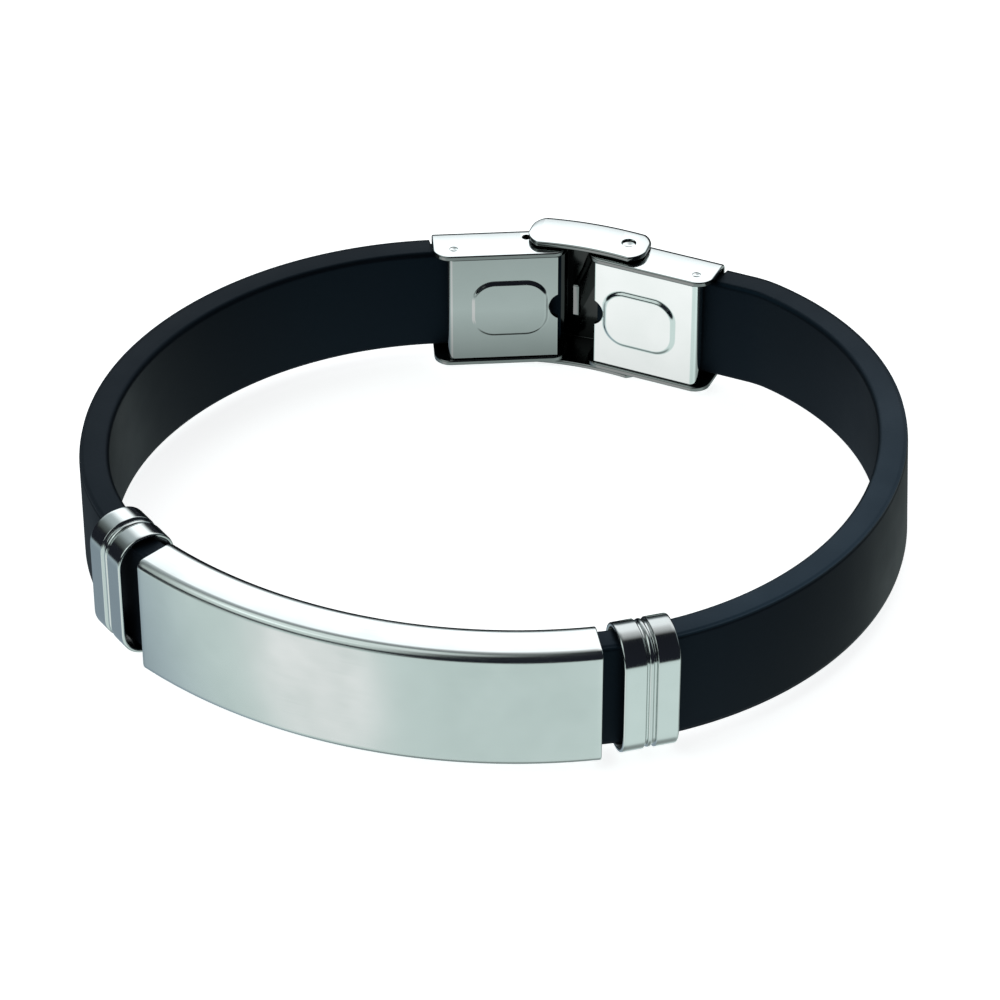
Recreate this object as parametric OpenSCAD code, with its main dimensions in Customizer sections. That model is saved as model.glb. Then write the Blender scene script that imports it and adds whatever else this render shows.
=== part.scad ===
// Silicone bracelet with a curved steel plate, two keepers and a folding clasp.
// It lies on its side: the wrist opening runs along Z and the plate faces -Y.
// Headings are measured from +X; each side of the loop starts at the middle of the plate.

/* [Strap] */
// Width of the band, along Z
strap_w = 10.6; // [9:0.1:11]
// Thickness of the band
strap_t = 2.7; // [2.2:0.1:3]
// Rounding of the band's edges
strap_edge_r = 0.5; // [0.2:0.1:0.8]
// How far the right side leans: its lower edge stands out by this and its upper edge in
strap_lean = 0.25; // [0:0.05:0.4]
// Radius and angle of each bend right of the plate
right_bends = [[32.46, 83.5], [26.52, 48], [9.15, 15.3]];
// Radius and angle of each bend left of the plate
left_bends = [[23.36, 40.1], [29.84, 34.4], [32.91, 57.6]];

/* [Plate] */
// Radius of the band's middle under the plate
plate_bend_r = 44; // [40:0.5:48]
// Half of the angle that the plate covers
plate_half_angle = 26.6; // [22:0.1:26.8]
// Height of the plate
plate_h = 12; // [12:0.1:12.4]
// How far the plate's face stands out from the band's middle
plate_out = 2.85; // [2.7:0.05:3.2]
// How far the plate's lips reach inside the band's middle
plate_in = 1.75; // [1.7:0.05:2.2]
// Height of the lips that fold behind the band
plate_lip_h = 2.6; // [1.5:0.1:4]
// How far the plate has slid to the left on the band
plate_slide = 0.2; // [0:0.05:0.4]
// Rounding of the plate's long edges
plate_edge_r = 0.8; // [0.3:0.05:1.1]

/* [Keepers] */
// Length of a keeper along the band
keeper_len = 5; // [4:0.1:6]
// Height of a keeper
keeper_h = 12.5; // [12.5:0.1:13]
// How far a keeper has slid down on the band
keeper_drop = 0.15; // [0:0.05:0.2]
// How far a keeper stands out from the band's middle
keeper_out = 2.8; // [2.6:0.1:3.4]
// How far a keeper reaches inside the band's middle
keeper_in = 2.9; // [2.3:0.1:3]
// Outer corner rounding of a keeper
keeper_corner_r = 2.6; // [1.4:0.1:2.6]
// Wall of a keeper
keeper_wall = 0.6; // [0.5:0.05:0.7]
// Width of the groove round a keeper
groove_w = 1; // [0.6:0.1:1.4]
// Depth of the groove round a keeper
groove_d = 0.25; // [0.1:0.05:0.3]
// Width of the fine bead in the groove
bead_w = 0.4; // [0.2:0.05:0.5]
// Space between the plate and the right keeper
keeper_gap_right = 1.5; // [1.2:0.1:4]
// Space between the plate and the left keeper
keeper_gap_left = 2; // [1:0.1:4]

/* [Clasp boxes] */
// Length of the left clasp box
box_len_left = 12.9; // [12.6:0.1:13]
// Length of the right clasp box
box_len_right = 12.6; // [12.4:0.1:12.7]
// Height of a clasp box
box_h = 12.5; // [12.3:0.1:12.8]
// Sheet of the clasp boxes
box_sheet = 0.5; // [0.4:0.05:0.6]
// How far a box's back stands out from the band's middle
box_out = 1.15; // [1:0.05:1.5]
// How far a box's walls reach inside the band's middle
box_in = 3.5; // [3.2:0.1:3.8]
// Outer bend radius of a box
box_bend_r = 0.85; // [0.5:0.05:0.9]
// Corner rounding of a box's walls
box_corner_r = 1.6; // [0.5:0.1:1.8]
// Start of the left box, from the point where the strap's two straight ends would meet
box_start_left = 0.8; // [0.7:0.05:0.85]
// Start of the right box, from the same point
box_start_right = 2.4; // [2.2:0.1:2.5]
// Diameter of the small hole in each wall of the left box
catch_hole_d = 0.9; // [0.6:0.1:1.2]

/* [Flaps] */
// Sheet of a flap
flap_sheet = 0.6; // [0.5:0.05:0.6]
// Space between a flap and each wall of its box
flap_side_gap = 0.12; // [0.1:0.02:0.3]
// Distance of a flap's free edge from the end of its box
flap_start = 1; // [0.8:0.1:1.4]
// Distance of a flap's pin from the end of its box
flap_pin_at = 10.95; // [10.6:0.05:11]
// How far a flap's face reaches inside the band's middle
flap_in = 3.25; // [3.2:0.05:3.4]
// Distance of a flap's pin inside the band's middle
flap_pin_in = 2.1; // [2.1:0.05:2.2]
// Diameter of a flap's pin
flap_pin_d = 0.8; // [0.6:0.1:0.8]
// Outer radius of a flap's rolled knuckle
knuckle_r = 0.65; // [0.6:0.01:0.7]
// Length of the pressed oval
press_len = 7.4; // [6:0.1:8]
// Height of the pressed oval
press_h = 6; // [5:0.1:7]
// How far the pressed oval stands out of the flap
press_d = 0.3; // [0.2:0.05:0.5]
// Radius of the nail notch
notch_r = 1.5; // [1:0.1:2]
// How far the notch's centre lies beyond the flap's free edge
notch_out = 0.65; // [0:0.05:0.8]

/* [Lever] */
// Length of the lever
lever_len = 11.7; // [11:0.1:12]
// Turn of the lever against the right box
lever_turn = 6; // [4:0.5:7]
// Outer radius of the lever's curved back
lever_back_r = 30; // [24:1:40]
// How far the middle of the lever's back stands out from the band's middle
lever_out = 1.6; // [1.6:0.05:1.9]
// Depth of the lever's walls
lever_depth = 4.95; // [4.4:0.05:5]
// Sheet of the lever
lever_sheet = 0.5; // [0.4:0.05:0.6]
// Space between the lever's walls and the boxes' walls
lever_side_gap = 0.2; // [0.15:0.05:0.3]
// Corner rounding of the lever's walls
lever_corner_r = 2.2; // [1:0.1:2.2]
// Middle of the lever, from the meeting point of the strap's straight ends
lever_mid = 1.85; // [1.75:0.05:1.95]
// Lever pivot, along the right box from the same point
pivot_at = 5.8; // [5.6:0.1:6]
// Lever pivot, inside the band's middle
pivot_in = 0.6; // [0.4:0.1:0.8]
// Diameter of the pivot rivets
rivet_d = 1.2; // [1:0.1:1.4]
// Height of the catch tongue
tongue_h = 3.5; // [2:0.1:4.5]
// Thickness of the catch tongue
tongue_t = 0.7; // [0.5:0.1:0.8]
// How far the catch tongue reaches inside the band's middle
tongue_in = 2.2; // [1:0.1:2.4]

/* [Hidden] */
$fn = 48;
steel = [0.75, 0.79, 0.78];
rubber = [0.06, 0.07, 0.09];
// Clearances between neighbours
slip = 0.05;
bore_play = 0.03;
press_play = 0.01;
seat_gap = 0.1;
overlap = 0.05;
// Rounding of the lever's bends, and how far its back stops short of the pivot
lever_bend_r = 0.8;
lever_back_short = 1.6;
// Catch hole in a wall of the left box, and the catch tongue's near side, in the clasp frames
catch_hole_at = [4.7, -0.5];
tongue_from = 0.45;
// Longest step between the band's stations, and how far its ends stay back inside the boxes
strap_step = 2.2;
strap_back = 0.6;
// Length of the step from the full band to its clamped end
clamp_step = 0.1;

// How far the lever's curved back falls away at its ends
lever_fall = lever_back_r - sqrt(pow(lever_back_r, 2) - pow(lever_len / 2, 2));
// Heights, all measured from the band's middle plane
lever_half_h = box_h / 2 + lever_side_gap + lever_sheet;
flap_half_h = box_h / 2 - box_sheet - flap_side_gap;
// The outer half of the band's clamped ends is thinner, to lie under the boxes' backs
clamp_outer = (box_out - box_sheet - slip) / (strap_t / 2);

// A point on the path is [x, y, heading]
function bend_end(p, r, a) =
    [p[0] + r * (sin(p[2] + a) - sin(p[2])), p[1] - r * (cos(p[2] + a) - cos(p[2])), p[2] + a];
function bend_starts(p, bends, i = 0) =
    i == len(bends) ? [p] : concat([p], bend_starts(bend_end(p, bends[i][0], bends[i][1]), bends, i + 1));
function all_bends(bends) = concat([[plate_bend_r, plate_half_angle]], bends);

// One side of the loop from the middle of the plate, with the plate's middle at the origin
right_starts = bend_starts([0, 0, 0], all_bends(right_bends));
left_starts = bend_starts([0, 0, 0], all_bends(left_bends));
right_end = right_starts[len(right_starts) - 1];
left_end = left_starts[len(left_starts) - 1];

// The straight ends run on along their headings and meet at the clasp.
// right: right_end + u (cos hr, sin hr); left: (-x, y) of left_end + v (-cos hl, sin hl)
turn_det = -cos(right_end[2]) * sin(left_end[2]) - sin(right_end[2]) * cos(left_end[2]);
span_x = -left_end[0] - right_end[0];
span_y = left_end[1] - right_end[1];
right_straight = (-span_x * sin(left_end[2]) - span_y * cos(left_end[2])) / turn_det;
left_straight = (cos(right_end[2]) * span_y - sin(right_end[2]) * span_x) / turn_det;
meet = [right_end[0] + right_straight * cos(right_end[2]), right_end[1] + right_straight * sin(right_end[2])];

// Widest points of the two sides, where the heading is 90 degrees
function widest(starts, bends, i = 0) =
    starts[i + 1][2] >= 90
        ? bend_end(starts[i], bends[i][0], 90 - starts[i][2])[0]
        : widest(starts, bends, i + 1);
right_x = widest(right_starts, all_bends(right_bends)) + strap_t / 2;
left_x = widest(left_starts, all_bends(left_bends)) + strap_t / 2;

// The lever's frame is turned against the right box about the meeting point
lever_heading = right_end[2] - 180 + lever_turn;
lever_top_y = meet[1] + lever_mid * sin(lever_heading) + (lever_out - lever_back_r) * cos(lever_heading)
    + lever_back_r;
// Middle of the finished bracelet, which is moved onto the Z axis
middle = [(right_x - left_x) / 2, (lever_top_y - plate_out) / 2, -lever_half_h];

// Corner points of a rectangle from lo to hi with rounded corners
function corner(c, r, from, steps) =
    [for (i = [0:steps]) c + r * [cos(from + 90 * i / steps), sin(from + 90 * i / steps)]];
function rounded(lo, hi, r, steps = 4) = concat(
    corner([hi[0] - r, hi[1] - r], r, 0, steps), corner([lo[0] + r, hi[1] - r], r, 90, steps),
    corner([lo[0] + r, lo[1] + r], r, 180, steps), corner([hi[0] - r, lo[1] + r], r, 270, steps));

// Carries a section (outward, up) round one bend of the path
module round_bend(start, r, a) {
    translate([start[0] - r * sin(start[2]), start[1] + r * cos(start[2]), 0])
        rotate([0, 0, start[2] - 90])
            rotate_extrude(angle = a, $fn = 180)
                translate([r, 0])
                    children();
}
// Carries a section (outward, up) straight on from a point of the path
module straight_run(start, length) {
    translate([start[0], start[1], 0])
        rotate([0, 0, start[2] - 90])
            rotate([90, 0, 0])
                translate([0, 0, -length])
                    linear_extrude(length)
                        children();
}
// The loop's frame: the plate's middle stands at its place and the lowest edge at Z = 0
module loop() {
    translate([-middle[0], -middle[1], -middle[2]])
        children();
}
// Lean at a heading on the right side: a half sine wave from the plate's end to the straight end
function lean(heading) =
    strap_lean * sin(180 * max(0, heading - plate_half_angle) / (right_end[2] - plate_half_angle));
// Stations of one side, as [x, y, outward x, outward y, thickness factor of the outer half, lean]; the
// side is 1 for right and -1 for left
function station(p, side, outer = 1) =
    [side * p[0], p[1], side * sin(p[2]), -cos(p[2]), outer, side > 0 ? lean(p[2]) : 0];
function ahead(p, d) = [p[0] + d * cos(p[2]), p[1] + d * sin(p[2]), p[2]];
function bend_steps(bend) = ceil(bend[0] * bend[1] * PI / 180 / strap_step);
function bent_stations(starts, bends, side) =
    [for (i = [0:len(bends) - 1], k = [0:bend_steps(bends[i]) - 1])
        station(bend_end(starts[i], bends[i][0], bends[i][1] * k / bend_steps(bends[i])), side)];
// The straight end: full up to the box, then a step down to the clamped stretch
function end_stations(p, straight, box_start, box_len, side) =
    let (box_edge = straight - box_start - box_len)
        [station(p, side), station(ahead(p, box_edge - 2 * clamp_step), side),
         station(ahead(p, box_edge - clamp_step), side, clamp_outer),
         station(ahead(p, straight - box_start - strap_back), side, clamp_outer)];
// The band is one closed skin: a ring of section points at each station and a cap at each end
module strap() {
    right = concat(bent_stations(right_starts, all_bends(right_bends), 1),
                   end_stations(right_end, right_straight, box_start_right, box_len_right, 1));
    left = concat(bent_stations(left_starts, all_bends(left_bends), -1),
                  end_stations(left_end, left_straight, box_start_left, box_len_left, -1));
    stations = concat([for (i = [len(left) - 1:-1:1]) left[i]], right);
    section = rounded([-strap_t / 2, -strap_w / 2], [strap_t / 2, strap_w / 2], strap_edge_r, 2);
    n = len(section);
    last = len(stations) - 1;
    color(rubber) loop()
        polyhedron(
            points = [for (s = stations, c = section)
                let (out = c[0] * (c[0] > 0 ? s[4] : 1) - s[5] * c[1] / (strap_w / 2))
                    [s[0] + out * s[2], s[1] + out * s[3], c[1]]],
            faces = concat(
                [[for (j = [0:n - 1]) j]],
                [for (i = [0:last - 1], j = [0:n - 1])
                    [i * n + j, (i + 1) * n + j, (i + 1) * n + (j + 1) % n, i * n + (j + 1) % n]],
                [[for (j = [n - 1:-1:0]) last * n + j]]));
}

// C-shaped section of the plate, open at the inside between its two lips
module plate_section() {
    inner_out = strap_t / 2 + slip;
    inner_h = strap_w / 2 + seat_gap;
    difference() {
        polygon(rounded([-plate_in, -plate_h / 2], [plate_out, plate_h / 2], plate_edge_r, 5));
        translate([-inner_out, -inner_h])
            square([2 * inner_out, 2 * inner_h]);
        translate([-2 * plate_in, -plate_h / 2 + plate_lip_h])
            square([2 * plate_in, plate_h - 2 * plate_lip_h]);
    }
}
module id_plate() {
    from = -plate_half_angle - plate_slide / plate_bend_r * 180 / PI;
    color(steel) loop()
        round_bend(bend_end([0, 0, 0], plate_bend_r, from), plate_bend_r, 2 * plate_half_angle)
            plate_section();
}

// Outline of a keeper's section, moved in by an amount
module keeper_outline(by) {
    polygon(rounded([-keeper_in + by, -keeper_h / 2 + by], [keeper_out - by, keeper_h / 2 - by],
                    keeper_corner_r - by, 8));
}
// Ring-shaped section of a keeper, its outside lowered by an amount
module keeper_section(lower) {
    difference() {
        keeper_outline(lower);
        keeper_outline(keeper_wall);
    }
}
// Keeper drawn along +X from its edge next to the plate, with its outside towards -Y
module keeper_body() {
    band = (keeper_len - groove_w) / 2;
    bead_at = keeper_len / 2 - bead_w / 2;
    straight_run([0, 0, 0], band + overlap)
        keeper_section(0);
    straight_run([band, 0, 0], groove_w)
        keeper_section(groove_d);
    straight_run([bead_at, 0, 0], bead_w)
        keeper_section(groove_d / 3);
    straight_run([band + groove_w - overlap, 0, 0], band + overlap)
        keeper_section(0);
}
// Place of a keeper: the middle of its length lies on the first bend after the plate's stretch, and
// its gap is measured from the end of that stretch
module at_keeper(bends, gap) {
    start = bend_end([0, 0, 0], plate_bend_r, plate_half_angle);
    turn = (gap + keeper_len / 2) / bends[0][0] * 180 / PI;
    mid = bend_end(start, bends[0][0], turn);
    translate([mid[0], mid[1], 0])
        rotate([0, 0, mid[2]])
            translate([-keeper_len / 2, 0, -keeper_drop])
                children();
}
module keeper_right() {
    color(steel) loop()
        at_keeper(right_bends, keeper_gap_right - plate_slide)
            keeper_body();
}
module keeper_left() {
    color(steel) loop()
        mirror([1, 0, 0])
            at_keeper(left_bends, keeper_gap_left + plate_slide)
                keeper_body();
}

// Clasp frames: X runs from the meeting point along a box to its strap, Y points out of the loop
module right_clasp() {
    loop()
        translate([meet[0], meet[1], 0])
            rotate([0, 0, right_end[2] - 180])
                children();
}
module left_clasp() {
    loop()
        translate([meet[0], meet[1], 0])
            mirror([1, 0, 0])
                rotate([0, 0, left_end[2] - 180])
                    children();
}
// Upright round hole or pin at a place in plan
module upright(at, d, from, to) {
    translate([at[0], at[1], from])
        cylinder(d = d, h = to - from);
}
// U-shaped channel, open to the inside of the loop, with rounded wall corners
module box_body(start, box_len, holes) {
    pin = [start + flap_pin_at, -flap_pin_in];
    difference() {
        intersection() {
            translate([start, 0, 0])
                rotate([90, 0, 90])
                    linear_extrude(box_len)
                        polygon(rounded([-box_in - 1, -box_h / 2], [box_out, box_h / 2], box_bend_r, 5));
            translate([0, 0, -box_h])
                linear_extrude(2 * box_h)
                    polygon(rounded([start, -box_in], [start + box_len, box_out + 2], box_corner_r, 6));
        }
        translate([start - 1, -box_in - 2, -box_h / 2 + box_sheet])
            cube([box_len + 2, box_in + 2 + box_out - box_sheet, box_h - 2 * box_sheet]);
        upright(pin, flap_pin_d + 2 * press_play, -box_h, box_h);
        for (hole = holes)
            upright([hole[0], hole[1]], hole[2], -box_h, box_h);
    }
}
module clasp_box_left() {
    color(steel) left_clasp()
        box_body(box_start_left, box_len_left, [[catch_hole_at[0], catch_hole_at[1], catch_hole_d]]);
}
module clasp_box_right() {
    color(steel) right_clasp()
        box_body(box_start_right, box_len_right, [[pivot_at, -pivot_in, rivet_d + 2 * press_play]]);
}

// Outline of the pressed oval: a rectangle with wide round corners
module press_shape(grow) {
    polygon(rounded([-press_len / 2 - grow, -press_h / 2 - grow], [press_len / 2 + grow, press_h / 2 + grow],
                    press_h * 0.42 + grow, 6));
}
// Extrudes a shape of (along the box, up) through depths measured inside the band's middle
module inward(from, to) {
    translate([0, -from, 0])
        rotate([90, 0, 0])
            linear_extrude(to - from)
                children();
}
// Outline in plan of a flap's plate, the leg at its end and the eye round its pin
module flap_outline(free_edge, pin) {
    polygon(concat([[free_edge, -flap_in]],
                   corner([pin, -flap_in + knuckle_r], knuckle_r, 270, 6),
                   corner([pin, -flap_pin_in], knuckle_r, 0, 6),
                   corner([pin, -flap_pin_in], knuckle_r, 90, 6),
                   [[pin - knuckle_r, -flap_in + flap_sheet], [free_edge, -flap_in + flap_sheet]]));
}
module flap_body(start) {
    free_edge = start + flap_start;
    pin = start + flap_pin_at;
    press_at = (free_edge + pin - knuckle_r) / 2;
    back = flap_in - flap_sheet;
    difference() {
        union() {
            translate([0, 0, -flap_half_h])
                linear_extrude(2 * flap_half_h)
                    flap_outline(free_edge, pin);
            inward(flap_in - overlap, flap_in + press_d)
                translate([press_at, 0])
                    press_shape(0);
        }
        inward(back - 1, back + press_d)
            translate([press_at, 0])
                press_shape(-flap_sheet * 0.6);
        inward(back - 1, flap_in + 1)
            translate([free_edge - notch_out, 0])
                circle(notch_r);
        upright([pin, -flap_pin_in], flap_pin_d + 2 * bore_play, -box_h, box_h);
    }
}
module flap_left() {
    color(steel) left_clasp()
        flap_body(box_start_left);
}
module flap_right() {
    color(steel) right_clasp()
        flap_body(box_start_right);
}
module flap_pin(start) {
    upright([start + flap_pin_at, -flap_pin_in], flap_pin_d, -box_h / 2, box_h / 2);
}
module flap_pin_left() {
    color(steel) left_clasp()
        flap_pin(box_start_left);
}
module flap_pin_right() {
    color(steel) right_clasp()
        flap_pin(box_start_right);
}

// U-shaped section of the lever with round outer bends, drawn at the radius of its back
module lever_section() {
    inner_half_h = box_h / 2 + lever_side_gap;
    tip = lever_back_r - lever_depth;
    difference() {
        polygon(concat([[tip, lever_half_h], [tip, -lever_half_h]],
                       corner([lever_back_r - lever_bend_r, lever_bend_r - lever_half_h], lever_bend_r, 270, 5),
                       corner([lever_back_r - lever_bend_r, lever_half_h - lever_bend_r], lever_bend_r, 0, 5)));
        translate([tip - 1, -inner_half_h])
            square([lever_depth + 1 - lever_sheet, 2 * inner_half_h]);
    }
}
// The lever's back stops short of the pivot, so that it swings out clear of the right box
module lever_body() {
    back_end = pivot_at - lever_back_short;
    inner_half_h = box_h / 2 + lever_side_gap;
    difference() {
        union() {
            intersection() {
                translate([lever_mid, lever_out - lever_back_r, 0])
                    rotate([0, 0, 60])
                        rotate_extrude(angle = 60, $fn = 180)
                            lever_section();
                translate([0, 0, -2 * lever_half_h])
                    linear_extrude(4 * lever_half_h)
                        polygon(rounded([lever_mid - lever_len / 2, lever_out - lever_depth - lever_fall],
                                        [lever_mid + lever_len / 2, lever_out], lever_corner_r, 6));
            }
            translate([tongue_from, -tongue_in, -tongue_h / 2])
                cube([tongue_t, tongue_in + lever_out - lever_sheet / 2, tongue_h]);
        }
        translate([back_end, -lever_depth, -inner_half_h])
            cube([lever_len, 2 * lever_depth, 2 * inner_half_h]);
        rotate([0, 0, -lever_turn])
            upright([pivot_at, -pivot_in], rivet_d + 2 * bore_play, -box_h, box_h);
    }
}
module lever() {
    color(steel) right_clasp()
        rotate([0, 0, lever_turn])
            lever_body();
}
module rivet(side) {
    inner_end = box_h / 2 - box_sheet;
    outer_end = lever_half_h - slip;
    low_end = side > 0 ? inner_end : -outer_end;
    upright([pivot_at, -pivot_in], rivet_d, low_end, low_end + outer_end - inner_end);
}
module rivet_top() {
    color(steel) right_clasp()
        rivet(1);
}
module rivet_bottom() {
    color(steel) right_clasp()
        rivet(-1);
}

strap();
id_plate();
keeper_left();
keeper_right();
clasp_box_left();
clasp_box_right();
flap_left();
flap_right();
flap_pin_left();
flap_pin_right();
lever();
rivet_top();
rivet_bottom();
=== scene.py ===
"""Looks for a silicone bracelet: every piece is a surface worked out from the sizes of the solid part.

Lengths in the code are millimetres unless a name says otherwise. The loop frame has its origin in the
band under the middle of the plate, X to the right, Y from the plate to the clasp and Z up.
"""

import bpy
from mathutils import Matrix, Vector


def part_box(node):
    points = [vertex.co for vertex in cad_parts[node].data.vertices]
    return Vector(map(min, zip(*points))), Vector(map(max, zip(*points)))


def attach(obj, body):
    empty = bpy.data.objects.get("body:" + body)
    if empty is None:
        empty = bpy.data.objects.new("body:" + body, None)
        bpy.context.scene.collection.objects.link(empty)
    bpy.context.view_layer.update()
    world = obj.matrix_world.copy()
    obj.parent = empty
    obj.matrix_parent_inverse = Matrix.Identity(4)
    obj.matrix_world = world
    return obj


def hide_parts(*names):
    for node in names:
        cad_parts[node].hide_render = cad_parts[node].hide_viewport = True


bl_info = {
    "name": "Silicone bracelet",
    "version": (1, 0, 0),
    "blender": (4, 5, 0),
    "location": "3D View > Sidebar > Bracelet",
    "description": "Builds the visible pieces of a silicone bracelet with a steel plate and clasp",
    "category": "Add Mesh",
}

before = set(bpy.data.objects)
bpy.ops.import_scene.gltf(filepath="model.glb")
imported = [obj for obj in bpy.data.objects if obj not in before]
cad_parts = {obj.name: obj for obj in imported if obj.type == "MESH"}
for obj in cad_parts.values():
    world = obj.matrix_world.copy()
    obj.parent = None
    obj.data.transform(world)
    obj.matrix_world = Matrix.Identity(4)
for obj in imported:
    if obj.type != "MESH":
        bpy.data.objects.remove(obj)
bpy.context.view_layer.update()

from math import cos, pi, radians, sin, sqrt

import bpy
import numpy as np
from bpy.props import FloatProperty, FloatVectorProperty, PointerProperty
from mathutils import Vector

MM = 0.001

# The loop's plan, as in the solid part: radius and angle of each bend from the middle of the plate
PLATE_BEND = (44.0, 26.6)
RIGHT_BENDS = ((32.46, 83.5), (26.52, 48.0), (9.15, 15.3))
LEFT_BENDS = ((23.36, 40.1), (29.84, 34.4), (32.91, 57.6))

# Camera that matches the photograph: azimuth and elevation of the way back to it, its distance, the
# point that it looks at in the row frame, and its focal length in pixels of the square picture
CAMERA_AZIMUTH = 17.307
CAMERA_ELEVATION = 36.442
CAMERA_DISTANCE = 389.6
CAMERA_TARGET = (1.387, -3.047, 6.95)
CAMERA_FOCAL_PX = 4325.7
PICTURE_PX = 1000
SENSOR_MM = 36.0
FLOOR_HALF_M = 4.0


# ---- sizes and colours that a user would change ----

def length(name, text, default):
    """A length property in metres from a default in millimetres."""
    return FloatProperty(name=name, description=text, default=default * MM, min=0.0, precision=5,
                         unit="LENGTH", subtype="DISTANCE")


def linear(text):
    """An sRGB hex value as a linear colour."""
    c = np.array([int(text[i:i + 2], 16) for i in (1, 3, 5)]) / 255
    c = np.where(c <= 0.04045, c / 12.92, ((c + 0.055) / 1.055) ** 2.4)
    return (*c.tolist(), 1.0)


def hex_colour(name, text, default):
    """A colour property from an sRGB hex value."""
    return FloatVectorProperty(name=name, description=text, default=linear(default), size=4, min=0.0, max=1.0,
                               subtype="COLOR")


class BraceletStrap(bpy.types.PropertyGroup):
    width: length("Width", "Width of the band along Z", 10.6)
    thickness: length("Thickness", "Thickness of the band", 2.7)
    edge: length("Edge radius", "Rounding of the band's edges", 0.5)
    flash: length("Mould line", "Height of the fine mould line on the outer edges", 0.09)
    lean: length("Lean", "How far the right side's lower edge stands out and its upper edge in", 0.25)
    colour: hex_colour("Colour", "sRGB colour of the silicone", "#0a0d11")


class BraceletPlate(bpy.types.PropertyGroup):
    height: length("Height", "Height of the plate", 12.0)
    outside: length("Outside", "How far the face stands out from the band's middle", 2.85)
    inside: length("Inside", "How far the lips reach inside the band's middle", 1.75)
    lip: length("Lip", "Height of each lip behind the band", 2.6)
    slide: length("Slide", "How far the plate has slid to the left on the band", 0.2)
    edge: length("Edge radius", "Rounding of the long edges", 0.8)
    fold: length("Fold radius", "Rounding of the folds behind", 1.3)
    end_edge: length("End edge radius", "Rounding of the sheet's ends", 0.12)


class BraceletKeepers(bpy.types.PropertyGroup):
    width: length("Length", "Length of a keeper along the band", 5.0)
    height: length("Height", "Height of a keeper", 12.5)
    drop: length("Drop", "How far a keeper has slid down on the band", 0.15)
    outside: length("Outside", "How far it stands out from the band's middle", 2.8)
    inside: length("Inside", "How far it reaches inside the band's middle", 2.9)
    corner: length("Corner radius", "Outer corner rounding", 2.6)
    wall: length("Wall", "Thickness of the sheet", 0.6)
    rim: length("Rim", "Thickness of the sheet at its flared ends", 0.36)
    groove: length("Groove depth", "Depth of the groove round the middle", 0.27)
    gap_right: length("Right gap", "Space between the plate and the right keeper", 1.5)
    gap_left: length("Left gap", "Space between the plate and the left keeper", 2.0)


class BraceletClasp(bpy.types.PropertyGroup):
    left_length: length("Left box length", "Length of the left clasp box", 12.9)
    right_length: length("Right box length", "Length of the right clasp box", 12.6)
    box_height: length("Box height", "Height of a clasp box", 12.5)
    sheet: length("Sheet", "Sheet of the boxes and the lever", 0.5)
    box_outside: length("Box outside", "How far a box's back stands out from the band's middle", 1.15)
    box_inside: length("Box inside", "How far a box's walls reach inside the band's middle", 3.5)
    box_corner: length("Wall corner", "Corner rounding of a box's walls", 1.6)
    flap_sheet: length("Flap sheet", "Sheet of a flap", 0.6)
    flap_inside: length("Flap inside", "How far a flap's face reaches inside the band's middle", 3.25)
    press_length: length("Oval length", "Length of the pressed oval", 7.4)
    press_height: length("Oval height", "Height of the pressed oval", 6.2)
    press_depth: length("Oval height above face", "How far the pressed oval stands out", 0.2)
    lever_length: length("Lever length", "Length of the lever", 11.7)
    lever_depth: length("Lever depth", "Depth of the lever's walls", 4.95)


class BraceletFinish(bpy.types.PropertyGroup):
    steel: hex_colour("Steel", "sRGB colour of the polished steel", "#d6dad9")
    floor: hex_colour("Floor", "sRGB colour of the floor", "#fdfefe")


SETTINGS = {"strap": BraceletStrap, "plate": BraceletPlate, "keepers": BraceletKeepers,
            "clasp": BraceletClasp, "finish": BraceletFinish}


def settings(group):
    """The named property group of the scene."""
    return getattr(bpy.context.scene, "bracelet_" + group)


def sizes(group):
    """The lengths of a property group in millimetres, by name."""
    data = settings(group)
    return {k: getattr(data, k) / MM for k in data.__annotations__ if isinstance(getattr(data, k), float)}


# ---- plan of the loop ----

def chain(bends):
    """Start point and heading of each bend and the end of the last, walking arc after arc."""
    points = [(0.0, 0.0, 0.0)]
    for radius, angle in bends:
        x, y, h = points[-1]
        turned = h + radians(angle)
        points.append((x + radius * (sin(turned) - sin(h)), y - radius * (cos(turned) - cos(h)), turned))
    return np.array(points)


def side_path(bends):
    """Starts, headings, radii and lengths of one side's stretches; the last one is straight."""
    bends = (PLATE_BEND,) + bends
    starts = chain(bends)
    radii = np.array([b[0] for b in bends] + [np.inf])
    lengths = np.array([b[0] * radians(b[1]) for b in bends])
    return starts, radii, np.concatenate([[0.0], np.cumsum(lengths)])


RIGHT_SIDE = side_path(RIGHT_BENDS)
LEFT_SIDE = side_path(LEFT_BENDS)


def walk(side, s):
    """Points and outward directions at distances s along one side: each is its stretch's start plus
    radius times the change of the heading's sine and cosine, or a straight run."""
    starts, radii, at = side
    i = np.clip(np.searchsorted(at, s, "right") - 1, 0, len(radii) - 1)
    x, y, h = starts[i].T
    d = s - at[i]
    bent = np.isfinite(radii[i])
    r = np.where(bent, radii[i], 1.0)
    turned = h + np.where(bent, d / r, 0.0)
    px = np.where(bent, x + r * (np.sin(turned) - np.sin(h)), x + d * np.cos(h))
    py = np.where(bent, y - r * (np.cos(turned) - np.cos(h)), y + d * np.sin(h))
    return np.stack([px, py], 1), np.stack([np.sin(turned), -np.cos(turned)], 1)


def band_line(s):
    """Points and outward directions along the whole band; s is negative on the left side."""
    right, right_out = walk(RIGHT_SIDE, np.abs(s))
    left, left_out = walk(LEFT_SIDE, np.abs(s))
    flip = np.array([-1.0, 1.0])
    on_left = (s < 0)[:, None]
    return np.where(on_left, left * flip, right), np.where(on_left, left_out * flip, right_out)


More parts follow.
